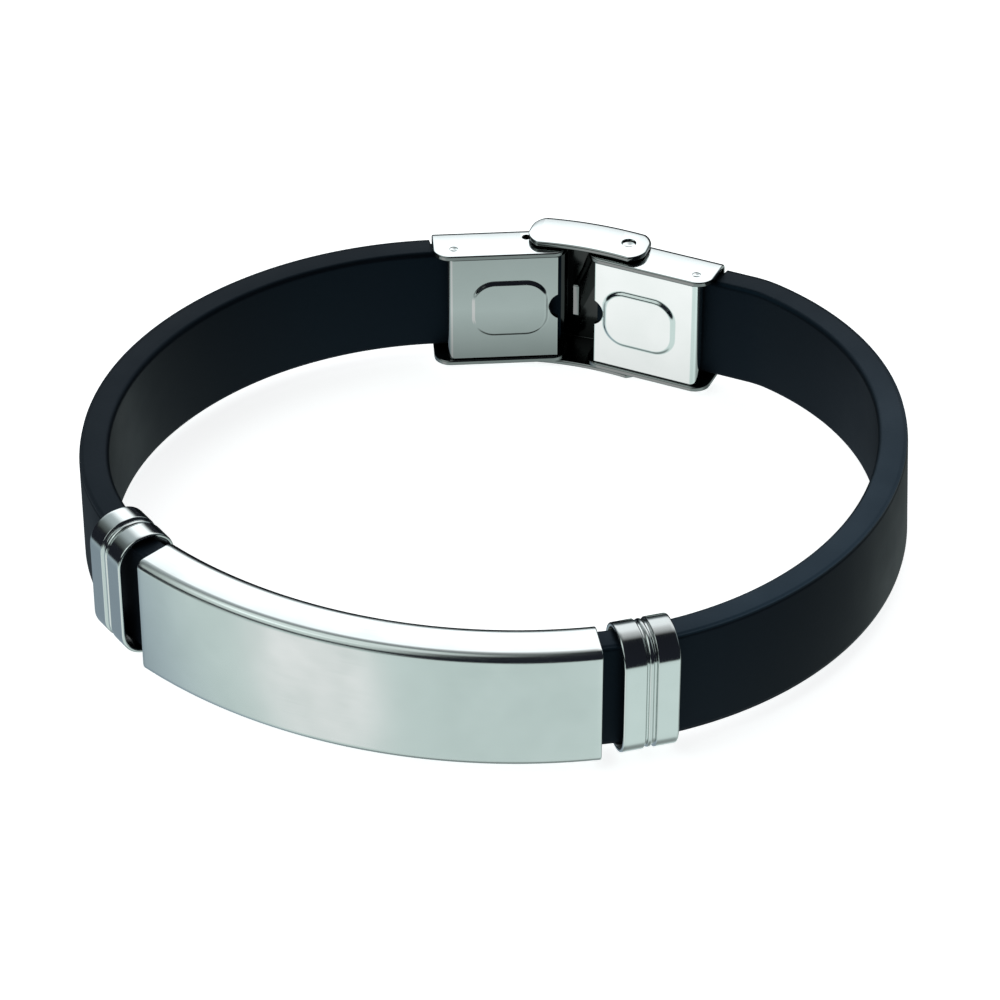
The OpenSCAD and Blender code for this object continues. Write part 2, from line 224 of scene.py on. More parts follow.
def lean_share(s):
    """Share of the lean along the band: half a sine wave of the heading on the right side, from the
    end of the plate's bend to the straight end, and none on the left."""
    _, out = band_line(s)
    first, last = radians(PLATE_BEND[1]), RIGHT_SIDE[0][-1][2]
    return np.sin(pi * np.clip((np.arctan2(out[:, 0], -out[:, 1]) - first) / (last - first), 0, 1))


def straight_ends():
    """Where the two straight ends would meet, and how long each is: two lines crossed in the plan."""
    xr, yr, hr = RIGHT_SIDE[0][-1]
    xl, yl, hl = LEFT_SIDE[0][-1]
    ways = np.array([[cos(hr), cos(hl)], [sin(hr), -sin(hl)]])
    right, left = np.linalg.solve(ways, np.array([-xl - xr, yl - yr]))
    return np.array([xr + right * cos(hr), yr + right * sin(hr)]), right, left


MEET, RIGHT_STRAIGHT, LEFT_STRAIGHT = straight_ends()
RIGHT_WAY = RIGHT_SIDE[0][-1][2] - pi
LEFT_WAY = LEFT_SIDE[0][-1][2] - pi
LEVER_TURN = radians(6.0)


def clasp_frame(turn, flip=1.0):
    """X from the meeting point along a box to its band, and Y out of the loop."""
    return np.array([flip * cos(turn), sin(turn)]), np.array([-flip * sin(turn), cos(turn)])


CLASP_FRAMES = {"right": clasp_frame(RIGHT_WAY), "left": clasp_frame(LEFT_WAY, -1.0),
                "lever": clasp_frame(RIGHT_WAY + LEVER_TURN)}

# Places in the clasp frames, as in the solid part
BOX_START = {"left": 0.8, "right": 2.4}
FLAP_START = 1.0
FLAP_PIN_AT = 10.95
FLAP_PIN_IN = 2.1
FLAP_PIN_D = 0.8
FLAP_SIDE_GAP = 0.06
KNUCKLE_R = 0.65
NOTCH_R = 1.5
NOTCH_OUT = 0.65
# A flap's pressed oval: width of the slope round it, how far outside its outline the slope starts, and
# its corner rounding as a share of its height
PRESS_WALL = 0.45
PRESS_FOOT = 0.05
PRESS_ROUND = 0.36
# Painted shade on each flap at its lower edge, middle and upper edge; below zero it is painted lighter than
# the other steel
FLAP_SHADE = {"left": (0.66, 0.31, 0.42), "right": (-0.05, -0.18, -0.25)}
# Keeper: rounding of its ends, half of the groove's width, the run of its sides and how far outside the
# half width they start, half of the bead's width and how far the bead stands up from the groove
KEEPER_EDGE_R = 0.17
GROOVE_HALF = 0.5
GROOVE_WALL = 0.2
GROOVE_FOOT = 0.06
BEAD_HALF = 0.25
BEAD_UP = 0.2
# Painted shade on a keeper's inside, and on its top, against its face
KEEPER_INSIDE_SHADE = 0.85
KEEPER_TOP_SHADE = {"left": 0.12, "right": 0.36}
# Painted sheen on the band's upper edge, 0 to 1, at distances along the band
PAINTED_SHEEN_AT = (-80.0, -60.0, -25.0, 20.0, 35.0, 58.0, 72.0, 95.0)
PAINTED_SHEEN = (0.03, 0.03, 0.12, 0.2, 1.0, 1.0, 0.6, 0.1)
# Painted shade on a fold behind, point by point from the flat that faces up to the back
FOLD_SHADE = (0.0, 0.35, 0.6, 0.7, 0.7, 0.6, 0.4, 0.2, 0.0)
# Outer bend radius of the boxes and the lever
BEND_R = 0.85
# Painted shade on a channel round its outer bend, from the back to the flat, and round the edge of a
# wall, from the flat to the cut edge
BEND_SHADE = (0.0, 0.4, 0.6, 0.7, 0.7, 0.55, 0.15)
RIM_SHADE = (0.0, 0.3, 0.5, 0.65, 0.7, 0.7, 0.7)
PIVOT = (5.8, -0.6)
RIVET_D = 1.2
RIVET_PLAY = 0.12
# How far a pin's ends stay inside the box and a rivet's inside the lever's walls, the height of their
# domes, and the play of their holes in the boxes
PIN_SHORT, PIN_DOME, PIN_HOLE_PLAY = 0.06, 0.08, 0.03
RIVET_SHORT, RIVET_DOME, RIVET_HOLE_PLAY = 0.25, 0.12, 0.01
# Catch hole in the left box: its place and radius
CATCH_HOLE = (4.7, -0.5, 0.45)
LEVER_BACK_R = 30.0
LEVER_OUT = 1.6
LEVER_MID = 1.85
LEVER_CORNER = 2.2
LEVER_EDGE_R = 0.16
LEVER_BACK_END = PIVOT[0] - 1.6
LEVER_SIDE_GAP = 0.2
# Tongue: its two ends along the lever and across it, its height, edge rounding and painted shade
TONGUE = ((0.45, 1.15), (-2.2, 1.4), 3.5)
TONGUE_R = 0.15
TONGUE_SHADE = 0.7
SLIP = 0.05
# Run over which the strap thins at each end of its clamped stretch
CLAMP_STEP = 0.1
STRAP_BACK = 0.6
STRAP_STATIONS = 380
# Run between the stations of the plate, the boxes and the lever
RUN_STEP = 0.4
# Spread of the mould line round the edge, in radians
FLASH_SPREAD = 0.16
# Where two sheets turn: rounding of a cut edge, of a fold's inside and of the strap's bed
EDGE_R = 0.12
LIP_EDGE_R = 0.13
BED_R = 0.05
BED_GAP = 0.1


def loop_origin():
    """The loop frame's origin in the row frame, in millimetres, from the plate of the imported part; the
    middle between the plate's two ends lies left of it by the outer radius times the cosine of half
    the plate's angle times the sine of the angle that it has slid."""
    low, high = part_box("id_plate")
    z = sizes("plate")
    radius, half = PLATE_BEND
    across = (radius + z["outside"]) * cos(radians(half)) * sin(z["slide"] / radius)
    return np.array([(low.x + high.x) / 2, low.y, (low.z + high.z) / 2]) / MM + (across, z["outside"], 0)


# ---- sections and shells ----

def smooth(share):
    """A smooth step from 0 to 1 over a share that is kept between 0 and 1."""
    share = np.clip(share, 0, 1)
    return share * share * (3 - 2 * share)


def paired(one, other):
    """Two arrays spread to one shape and put side by side."""
    return np.stack(np.broadcast_arrays(one, other), -1)


def rounded(corners, radii, steps, inset=0.0):
    """Outline of a polygon with rounded corners, moved in by an inset.

    corners is (K, 2) or (N, K, 2), walked with the inside on the left. Each corner becomes an arc that
    turns from one edge's direction to the next about a centre one radius inside both edges."""
    p = np.asarray(corners, float)
    p = p if p.ndim == 3 else p[None]
    count = max(len(p), np.size(inset))
    inset = np.broadcast_to(np.asarray(inset, float).reshape(-1, 1), (count, p.shape[1]))
    p = np.broadcast_to(p, (len(inset),) + p.shape[1:])
    ahead = np.roll(p, -1, 1) - p
    ahead = ahead / np.linalg.norm(ahead, axis=2, keepdims=True)
    behind = np.roll(ahead, 1, 1)

    def inward(way):
        return np.stack([-way[..., 1], way[..., 0]], -1)

    n1, n2 = inward(behind), inward(ahead)
    p = p + inset[..., None] * (n1 + n2) / (1 + (n1 * n2).sum(-1, keepdims=True))
    cross = behind[..., 0] * ahead[..., 1] - behind[..., 1] * ahead[..., 0]
    turn = np.arctan2(cross, (behind * ahead).sum(-1))
    r = np.maximum(np.where(turn > 0, np.asarray(radii) - inset, np.asarray(radii) + inset), 1e-4)
    first = p - behind * (r * np.tan(np.abs(turn) / 2))[..., None]
    centre = first + n1 * (r * np.sign(turn))[..., None]
    arm = first - centre
    angle = turn[..., None] * np.linspace(0, 1, steps + 1)
    c, s = np.cos(angle), np.sin(angle)
    x = centre[..., 0, None] + arm[..., 0, None] * c - arm[..., 1, None] * s
    y = centre[..., 1, None] + arm[..., 0, None] * s + arm[..., 1, None] * c
    return np.stack([x, y], -1).reshape(len(p), -1, 2)


def rounded_run(start, end, edge, step, steps=5):
    """Stations from start to end with fine ones in each rounded end, and the section's inset at each:
    an end is a quarter circle of the edge radius."""
    quarter = np.linspace(0, pi / 2, steps + 1)
    d = edge * (1 - np.cos(quarter))
    count = max(2, int(np.ceil((end - start - 2 * edge) / step)) + 1)
    middle = np.linspace(start + edge, end - edge, count)[1:-1]
    at = np.concatenate([start + d, middle, (end - d)[::-1]])
    inset = edge * (1 - np.sin(quarter))
    return at, np.concatenate([inset, np.zeros(len(middle)), inset[::-1]])


def corner_fall(at, start, end, radius):
    """How far a quarter-circle corner of the radius has fallen at each place between start and end."""
    d = np.minimum(at - start, end - at)
    return radius - np.sqrt(np.maximum(radius ** 2 - np.maximum(radius - d, 0) ** 2, 0))


def corner_stations(start, end, radius, edge):
    """Places between start and end that are fine in the corners' arcs, with the inset of the ends."""
    quarter = radius * (1 - np.cos(np.linspace(0, pi / 2, 14)))
    run, _ = rounded_run(start, end, edge, RUN_STEP)
    at = np.unique(np.round(np.concatenate([run, start + quarter, end - quarter]), 5))
    return at, corner_fall(at, start, end, edge)


class Shells:
    """Gathers closed shells of one piece: each is a run of rings joined by four-sided faces."""

    def __init__(self):
        self.points, self.faces, self.grain, self.painted_light = [], [], [], []
        self.count = 0

    def add(self, rings, grain=None, ring_of_rings=False, painted_light=0.0):
        """Adds rings (N, M, 3). Open runs get one flat face at each end. The sum of the faces' signed
        volumes says which way they turn, and they are turned outwards."""
        n, m = rings.shape[:2]
        i = np.arange(n if ring_of_rings else n - 1)[:, None]
        j = np.arange(m)[None]
        k, l = (i + 1) % n, (j + 1) % m
        quads = np.stack([i * m + j, k * m + j, k * m + l, i * m + l], -1).reshape(-1, 4)
        caps = [] if ring_of_rings else [np.arange(m), (n - 1) * m + np.arange(m)[::-1]]
        flat = rings.reshape(-1, 3)

        def volume(face):
            a, b, c = flat[face[..., 0:1]], flat[face[..., 1:-1]], flat[face[..., 2:]]
            return np.einsum("...i,...i->...", np.broadcast_to(a, b.shape), np.cross(b, c)).sum()

        turned = -1 if volume(quads) + sum(volume(c) for c in caps) < 0 else 1
        self.points.append(flat)
        self.faces += (quads[:, ::turned] + self.count).tolist()
        self.faces += [(c[::turned] + self.count).tolist() for c in caps]
        if grain is None:
            grain = paired(np.arange(n)[:, None] * 0.1, np.arange(m)[None] * 0.1)
        self.grain.append(np.asarray(grain, float).reshape(-1, 2))
        self.painted_light.append(np.broadcast_to(painted_light, (n, m)).reshape(-1))
        self.count += n * m
        return self

    def finish(self, name, sharp=35.0):
        """Makes the mesh object in metres, with the grain that the polish follows and the painted light as
        attributes: painted shade on the steel and painted sheen on the silicone."""
        points = np.concatenate(self.points) * MM
        mesh = bpy.data.meshes.new(name)
        mesh.from_pydata(points.tolist(), [], self.faces)
        grain = mesh.attributes.new("grain", "FLOAT_VECTOR", "POINT")
        flow = np.concatenate(self.grain)
        grain.data.foreach_set("vector", np.column_stack([flow, np.zeros(len(flow))]).ravel())
        mesh.attributes.new("painted_light", "FLOAT", "POINT").data.foreach_set("value", np.concatenate(self.painted_light))
        mesh.polygons.foreach_set("use_smooth", np.ones(len(mesh.polygons), bool))
        mesh.set_sharp_from_angle(angle=radians(sharp))
        return new_object(name, mesh)


def new_object(name, data):
    """An object of the scene that shows the data."""
    item = bpy.data.objects.new(name, data)
    bpy.context.scene.collection.objects.link(item)
    return item


def ring_lengths(rings):
    """Grain places of a run of rings: distance along the run and distance round each ring."""
    along = np.linalg.norm(np.diff(rings.mean(1), axis=0), axis=1)
    around = np.linalg.norm(np.diff(rings, axis=1), axis=2)
    a = np.concatenate([[0.0], np.cumsum(along)])[:, None]
    b = np.concatenate([np.zeros((len(rings), 1)), np.cumsum(around, 1)], 1)
    return paired(a, b)


def carried(s, sections):
    """Sections (outward, up) carried along the band to the distances s, in the row frame."""
    at, out = band_line(s)
    xy = at[:, None] + sections[..., :1] * out[:, None]
    return np.concatenate([xy, sections[..., 1:]], -1) + loop_origin()


def in_clasp(which, x, y, z):
    """Points of a clasp frame in the row frame."""
    ex, ey = CLASP_FRAMES[which]
    x, y, z = np.broadcast_arrays(x, y, z)
    xy = MEET + x[..., None] * ex + y[..., None] * ey
    return np.concatenate([xy, z[..., None]], -1) + loop_origin()


def cut(piece, rings):
    """Takes the closed shell of the rings out of a piece and keeps the result as the piece's own mesh."""
    cutter = Shells().add(rings).finish("cutter")
    boolean = piece.modifiers.new("cut", "BOOLEAN")
    boolean.operation = "DIFFERENCE"
    boolean.solver = "EXACT"
    boolean.object = cutter
    bpy.context.view_layer.update()
    mesh = bpy.data.meshes.new_from_object(piece.evaluated_get(bpy.context.evaluated_depsgraph_get()))
    if not mesh.polygons:
        raise RuntimeError(f"cutting {piece.name} left nothing of it")
    piece.modifiers.clear()
    piece.data = mesh
    mesh.set_sharp_from_angle(angle=radians(35.0))
    bpy.data.objects.remove(cutter)


def upright(which, at, radius, low, high, dome=0.0, steps=40):
    """Rings of an upright round: circles whose radius follows a quarter ellipse in each domed end."""
    q = np.linspace(0.2, pi / 2, 8) if dome else np.array([pi / 2])
    z, r = low + dome * (1 - np.cos(pi / 2 - q)), radius * np.sin(q)
    z, r = np.concatenate([z, low + high - z[::-1]])[:, None], np.concatenate([r, r[::-1]])[:, None]
    turn = np.linspace(0, 2 * pi, steps, endpoint=False)
    return in_clasp(which, at[0] + r * np.cos(turn), at[1] + r * np.sin(turn), z)


# ---- materials ----

# Steels: roughness, and depth of the wheel lines in millimetres; the lines are LINE_MM apart
MIRROR = "polished stainless steel"
SOFT = "soft-polished stainless steel"
SATIN = "satin-polished stainless steel"
POLISH = {MIRROR: (0.10, 0.001), SOFT: (0.13, 0.001), SATIN: (0.20, 0.002)}
LINE_MM = 0.1
# Silicone: size of its grain and its clouding, roughness, and specular level at no and at full painted sheen
GRAIN_MM = 0.3
CLOUD_MM = 8.0
RUBBER_ROUGH = (0.40, 0.5)
PAINTED_SHEEN_LEVEL = (0.145, 0.52)
SHEEN_TINT = "#7cccff"


def add_node(tree, kind, values=(), links=(), **settings_of_node):
    """Adds a node, sets its settings and socket values, and links its sockets."""
    node = tree.nodes.new(kind)
    for key, value in settings_of_node.items():
        setattr(node, key, value)
    for key, value in dict(values).items():
        node.inputs[key].default_value = value
    plug(tree, node, links)
    return node


def plug(tree, node, links):
    """Links sockets of a node: (name, other node's output)."""
    for key, output in dict(links).items():
        tree.links.new(node.inputs[key], output)


def mixed(tree, factor, one, other):
    """A colour that goes from one to the other with the factor."""
    ramp = add_node(tree, "ShaderNodeValToRGB", links={"Fac": factor}).color_ramp
    ramp.elements[0].color, ramp.elements[1].color = one, other
    return tree.nodes[-1].outputs["Color"]


def new_material(name, values):
    """A node material with its output and its shader, which gets the values."""
    material = bpy.data.materials.new(name)
    material.use_nodes = True
    tree = material.node_tree
    tree.nodes.clear()
    shader = add_node(tree, "ShaderNodeBsdfPrincipled", values)
    add_node(tree, "ShaderNodeOutputMaterial", links={"Surface": shader.outputs["BSDF"]})
    return material, tree, shader


def silicone_rubber():
    """Black silicone rubber, moulded in a fine-blasted steel mould: a soft, bluish sheen on the faces that
    see the light, with a painted sheen on the upper edge that is strongest on the right side, nearly black
    elsewhere, with a grain of about 0.3 mm, drawn coarser than the real 0.05 mm so that it shows, and slow
    clouding over some 8 mm from handling."""
    material, tree, shader = new_material("moulded black silicone rubber",
                                          {"IOR": 1.41, "Specular Tint": linear(SHEEN_TINT)})
    place = add_node(tree, "ShaderNodeTexCoord").outputs["Object"]
    grain, cloud = (
        add_node(tree, "ShaderNodeTexNoise", {"Scale": 1 / (size * MM), "Detail": detail}, {"Vector": place})
        for size, detail in ((GRAIN_MM, 2.0), (CLOUD_MM, 3.0)))
    colour = settings("strap").colour
    tone = mixed(tree, cloud.outputs["Fac"], colour, linear("#12161b"))
    low, high = RUBBER_ROUGH
    spread = {"From Min": 0.3, "From Max": 0.7, "To Min": low, "To Max": high}
    rough = add_node(tree, "ShaderNodeMapRange", spread, {"Value": cloud.outputs["Fac"]})
    bump = add_node(tree, "ShaderNodeBump", {"Strength": 0.25, "Distance": 0.02 * MM},
                    {"Height": grain.outputs["Fac"]})
    # Painted sheen: the attribute raises the specular level on the band's upper edge
    painted_sheen = add_node(tree, "ShaderNodeAttribute", attribute_name="painted_light").outputs["Fac"]
    low, high = PAINTED_SHEEN_LEVEL
    level = add_node(tree, "ShaderNodeMapRange", {"To Min": low, "To Max": high}, {"Value": painted_sheen})
    plug(tree, shader, {"Base Color": tone, "Roughness": rough.outputs["Result"],
                        "Normal": bump.outputs["Normal"], "Specular IOR Level": level.outputs["Result"]})
    return material


def polished_steel(name, roughness, depth):
    """Stainless steel sheet, pressed and then polished on a cloth wheel: a clear, slightly green-grey
    mirror with fine wheel lines along the sheet and faint wipe marks a few millimetres wide. The lines
    are drawn coarser than the real 0.02 mm, so that they show."""
    material, tree, shader = new_material(name, {"Metallic": 1.0})
    flow = add_node(tree, "ShaderNodeAttribute", attribute_name="grain").outputs["Vector"]
    place = add_node(tree, "ShaderNodeTexCoord").outputs["Object"]
    stretch = add_node(tree, "ShaderNodeMapping", {"Scale": (1 / 6.0, 1 / LINE_MM, 1.0)}, {"Vector": flow})
    lines = add_node(tree, "ShaderNodeTexNoise", {"Scale": 1.0, "Detail": 3.0},
                     {"Vector": stretch.outputs["Vector"]})
    wipe = add_node(tree, "ShaderNodeTexNoise", {"Scale": 1 / (4 * MM), "Detail": 2.0}, {"Vector": place})
    both = add_node(tree, "ShaderNodeMath", {}, {0: lines.outputs["Fac"], 1: wipe.outputs["Fac"]},
                    operation="MULTIPLY")
    spread = {"From Min": 0.1, "From Max": 0.45, "To Min": roughness * 0.8, "To Max": roughness * 1.3}
    rough = add_node(tree, "ShaderNodeMapRange", spread, {"Value": both.outputs["Value"]})
    tone = mixed(tree, wipe.outputs["Fac"], settings("finish").steel, linear("#cbd1cf"))
    # Painted shade: the attribute darkens the base colour, to 0.06 of it at 1, and paints it lighter below 0
    painted_light = add_node(tree, "ShaderNodeAttribute", attribute_name="painted_light").outputs["Fac"]
    left = add_node(tree, "ShaderNodeMapRange", {"To Min": 1.0, "To Max": 0.06}, {"Value": painted_light},
                    clamp=False).outputs["Result"]
    painted_shade_tone = add_node(tree, "ShaderNodeVectorMath", {}, {0: tone, "Scale": left},
                      operation="SCALE").outputs[0]
    bump = add_node(tree, "ShaderNodeBump", {"Strength": 0.15, "Distance": depth * MM},
                    {"Height": lines.outputs["Fac"]})
    plug(tree, shader, {"Base Color": painted_shade_tone, "Roughness": rough.outputs["Result"],
                        "Normal": bump.outputs["Normal"]})
    return material


def steel(name):
    """The steel of that name, made once and then shared."""
    return bpy.data.materials.get(name) or polished_steel(name, *POLISH[name])


def place_piece(piece, body, slot, material, *nodes):
    """Gives a piece its material, ties it to its body and hides the solids it stands for; the slot is not
    used.
    """
    piece.data.materials.clear()
    piece.data.materials.append(material)
    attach(piece, body)
    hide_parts(*nodes)


# ---- operators ----

class BRACELET_OT_strap(bpy.types.Operator):
    """Silicone band: a rounded section with a fine mould line, carried along the loop; its clamped
    ends thin on the outside to lie under the backs of the boxes."""
    bl_idname = "bracelet.strap"
    bl_label = "Build strap"

    def execute(self, context):
        z = sizes("strap")
        clasp = sizes("clasp")
        t, w = z["thickness"] / 2, z["width"] / 2
        ends = []
        for which, side, straight in (("left", LEFT_SIDE, LEFT_STRAIGHT),
                                      ("right", RIGHT_SIDE, RIGHT_STRAIGHT)):
            mouth = side[2][-1] + straight - BOX_START[which]
            ends.append((mouth - clasp[which + "_length"], mouth - STRAP_BACK))
        (left, left_end), (right, right_end) = ends
        s = np.concatenate([
            [-left_end, CLAMP_STEP - left, 2 * CLAMP_STEP - left],
            np.linspace(2.5 * CLAMP_STEP - left, right - 2.5 * CLAMP_STEP, STRAP_STATIONS),
            [right - 2 * CLAMP_STEP, right - CLAMP_STEP, right_end]])
        base = rounded([(t, -w), (t, w), (-t, w), (-t, -w)], [z["edge"]] * 4, 8)[0]
        # a low ridge on the two outer edges, where the halves of the mould met
        angle = np.arctan2(np.abs(base[:, 1]) - (w - z["edge"]), base[:, 0] - (t - z["edge"]))
        ridge = z["flash"] * np.exp(-((angle - pi / 4) / FLASH_SPREAD) ** 2) * (base[:, 0] > 0)
        way = np.stack([np.ones(len(base)), np.sign(base[:, 1])], 1) / sqrt(2)
        base = base + ridge[:, None] * way
        clamped = (clasp["box_outside"] - clasp["sheet"] - SLIP) / t
        thin = (s < 1.5 * CLAMP_STEP - left) | (s > right - 1.5 * CLAMP_STEP)
        outer = np.where(thin[:, None] & (base[None, :, 0] > 0), clamped, 1.0)
        sections = paired(base[None, :, 0] * outer, base[None, :, 1])
        sections[..., 0] -= z["lean"] * lean_share(s)[:, None] * sections[..., 1] / w
        rings = carried(s, sections)
        # Painted sheen on the band's upper edge, strongest on the right side
        painted_sheen = np.interp(s, PAINTED_SHEEN_AT, PAINTED_SHEEN)[:, None] * (base[:, 1] > w - 0.5 * z["edge"])
        piece = Shells().add(rings, ring_lengths(rings), painted_light=painted_sheen).finish("silicone_band")
        place_piece(piece, "band", "silicone", silicone_rubber(), "strap")
        return {"FINISHED"}


class BRACELET_OT_plate(bpy.types.Operator):
    """Plate: a C-shaped section with rounded long edges, carried along the plate's bend between two
    rounded ends."""
    bl_idname = "bracelet.plate"
    bl_label = "Build plate"

    def execute(self, context):
        z = sizes("plate")
        strap = sizes("strap")
        half = PLATE_BEND[0] * radians(PLATE_BEND[1])
        s, inset = rounded_run(-half - z["slide"], half - z["slide"], z["end_edge"], RUN_STEP)
        h, lip = z["height"] / 2, z["height"] / 2 - z["lip"]
        t, w = strap["thickness"] / 2 + SLIP, strap["width"] / 2 + BED_GAP
        out, back = z["outside"], -z["inside"]
        corners = [(out, -h), (out, h), (back, h), (back, lip), (-t, lip), (-t, w), (t, w), (t, -w), (-t, -w),
                   (-t, -lip), (back, -lip), (back, -h)]
        e, fold = z["edge"], z["fold"]
        lips, bed = [LIP_EDGE_R] * 2, [BED_R] * 4
        radii = [e, e, fold] + lips + bed + lips + [fold]
        rings = carried(s, rounded(corners, radii, len(FOLD_SHADE) - 1, inset))
        # Painted shade round the two folds behind
        painted_shade = np.zeros((len(corners), len(FOLD_SHADE)))
        painted_shade[2] = FOLD_SHADE
        painted_shade[-1] = FOLD_SHADE[::-1]
        piece = Shells().add(rings, ring_lengths(rings), painted_light=painted_shade.ravel()).finish("bare_plate")
        place_piece(piece, "band", "steel", steel(SATIN), "id_plate")
        return {"FINISHED"}


class BRACELET_OT_keepers(bpy.types.Operator):
    """Keepers: each is a closed profile, two bands with a groove and a bead, carried round a rounded
    rectangle; the outline of the rectangle is moved in by the depth of the profile."""
    bl_idname = "bracelet.keepers"
    bl_label = "Build keepers"

    def profile(self, z):
        """Places along the keeper and depths below its outside, round the sheet: outside, groove,
        bead, edges as quarter circles, and the inside back again."""
        edge, wide, half = KEEPER_EDGE_R, z["width"], GROOVE_HALF
        # fine stations across the groove and coarse ones beside it
        middle, fine, coarse = wide / 2, half + GROOVE_WALL, half + 1.5 * GROOVE_WALL
        u = np.concatenate([np.linspace(edge, middle - coarse, 8),
                            np.linspace(middle - fine, middle + fine, 57),
                            np.linspace(middle + coarse, wide - edge, 8)])
        from_middle = np.abs(u - middle)
        bead = np.sqrt(np.maximum(1 - (from_middle / BEAD_HALF) ** 2, 0))
        depth = z["groove"] * smooth((half + GROOVE_FOOT - from_middle) / GROOVE_WALL) - BEAD_UP * bead
        q = np.linspace(0, pi / 2, 6)
        inner, rim = z["wall"], z["rim"]
        across, down = edge * np.sin(q[1:]), edge * np.cos(q[1:])
        return (np.concatenate([u, wide - edge + across, wide - edge + down, [wide * 0.7, wide * 0.3],
                                edge - across, edge - down[:-1]]),
                np.concatenate([depth, edge - down, rim - edge + across, [inner, inner],
                                rim - edge + down, edge - across[:-1]]))

    def execute(self, context):
        z = sizes("keepers")
        u, depth = self.profile(z)
        h, c = z["height"] / 2, z["corner"]
        corners = [(z["outside"], -h), (z["outside"], h), (-z["inside"], h), (-z["inside"], -h)]
        outline = rounded(corners, [c] * 4, 14, depth)
        half_plate = PLATE_BEND[0] * radians(PLATE_BEND[1])
        slid = sizes("plate")["slide"]
        for which, way, gap in (("right", 1.0, z["gap_right"] - slid), ("left", -1.0, z["gap_left"] + slid)):
            middle, out = band_line(np.array([way * (half_plate + gap + z["width"] / 2)]))
            along = np.array([-out[0][1], out[0][0]]) * way
            xy = middle[0] + (u - z["width"] / 2)[:, None, None] * along + outline[..., :1] * out[0]
            rings = np.concatenate([xy, outline[..., 1:] - z["drop"]], -1) + loop_origin()
            steps = np.linalg.norm(np.diff(outline[0], axis=0, prepend=0), axis=1)
            grain = paired(np.cumsum(steps)[None], u[:, None])
            # Painted shade on the inside, and towards the top, stronger on the right keeper
            inside = np.where(depth > z["rim"] - 0.02, KEEPER_INSIDE_SHADE, 0.0)[:, None]
            painted_shade = np.maximum(inside, KEEPER_TOP_SHADE[which] * np.clip(outline[..., 1] / h, 0, 1) ** 6)
            piece = Shells().add(rings, grain, ring_of_rings=True, painted_light=painted_shade)
            piece = piece.finish("keeper_sleeve_" + which)
            place_piece(piece, "band", "steel", steel(SOFT), "keeper_" + which)
        return {"FINISHED"}


def channel(start, end, out, tip, half_h, sheet, bend, corner_r, edge=EDGE_R):
    """U-shaped sections along a box or lever: out and tip are functions of the place that give the
    outside of the back and the walls' inner edges. The last of the three results is the painted shade
    of each point of a section: darkest inside the U, less round the outer bend and the walls' edges."""
    at, inset = corner_stations(start, end, corner_r, edge)
    o, i = out(at), tip(at)
    h, g = half_h, half_h - sheet
    flat = np.full_like(at, 1.0)
    corners = np.stack([np.stack(p, -1) for p in (
        (o, -h * flat), (o, h * flat), (i, h * flat), (i, g * flat), (o - sheet, g * flat),
        (o - sheet, -g * flat), (i, -g * flat), (i, -h * flat))], 1)
    radii = [bend, bend, edge, edge, EDGE_R, EDGE_R, edge, edge]
    # Painted shade: darkest inside the U, less round the outer bend and the walls' edges
    painted_shade = np.ones((len(radii), len(BEND_SHADE)))
    painted_shade[1], painted_shade[0] = BEND_SHADE, BEND_SHADE[::-1]
    painted_shade[2], painted_shade[7] = RIM_SHADE, RIM_SHADE[::-1]
    painted_shade[3] = painted_shade[6] = RIM_SHADE[-1]
    return at, rounded(corners, radii, len(BEND_SHADE) - 1, inset), painted_shade.ravel()


class BRACELET_OT_boxes(bpy.types.Operator):
    """Clasp boxes: U-shaped channels of folded sheet whose walls have rounded corners, with the holes
    for the flap pins, the lever's pivot and the catch."""
    bl_idname = "bracelet.boxes"
    bl_label = "Build clasp boxes"

    def execute(self, context):
        z = sizes("clasp")
        h, r = z["box_height"] / 2, z["box_corner"]
        for which in ("left", "right"):
            start = BOX_START[which]
            end = start + z[which + "_length"]
            at, outline, inside = channel(start, end, lambda x: np.full_like(x, z["box_outside"]),
                                          lambda x: -z["box_inside"] + corner_fall(x, start, end, r), h,
                                          z["sheet"], BEND_R, r)
            rings = in_clasp(which, at[:, None], outline[..., 0], outline[..., 1])
            # The channel gets its painted shade
            piece = Shells().add(rings, ring_lengths(rings), painted_light=inside).finish("clasp_channel_" + which)
            holes = [(start + FLAP_PIN_AT, -FLAP_PIN_IN, FLAP_PIN_D / 2 + PIN_HOLE_PLAY)]
            holes += [(*PIVOT, RIVET_D / 2 + RIVET_HOLE_PLAY) if which == "right" else CATCH_HOLE]
            for x, y, radius in holes:
                cut(piece, upright(which, (x, y), radius, -2 * h, 2 * h))
            place_piece(piece, "band", "steel", steel(MIRROR), "clasp_box_" + which)
        return {"FINISHED"}


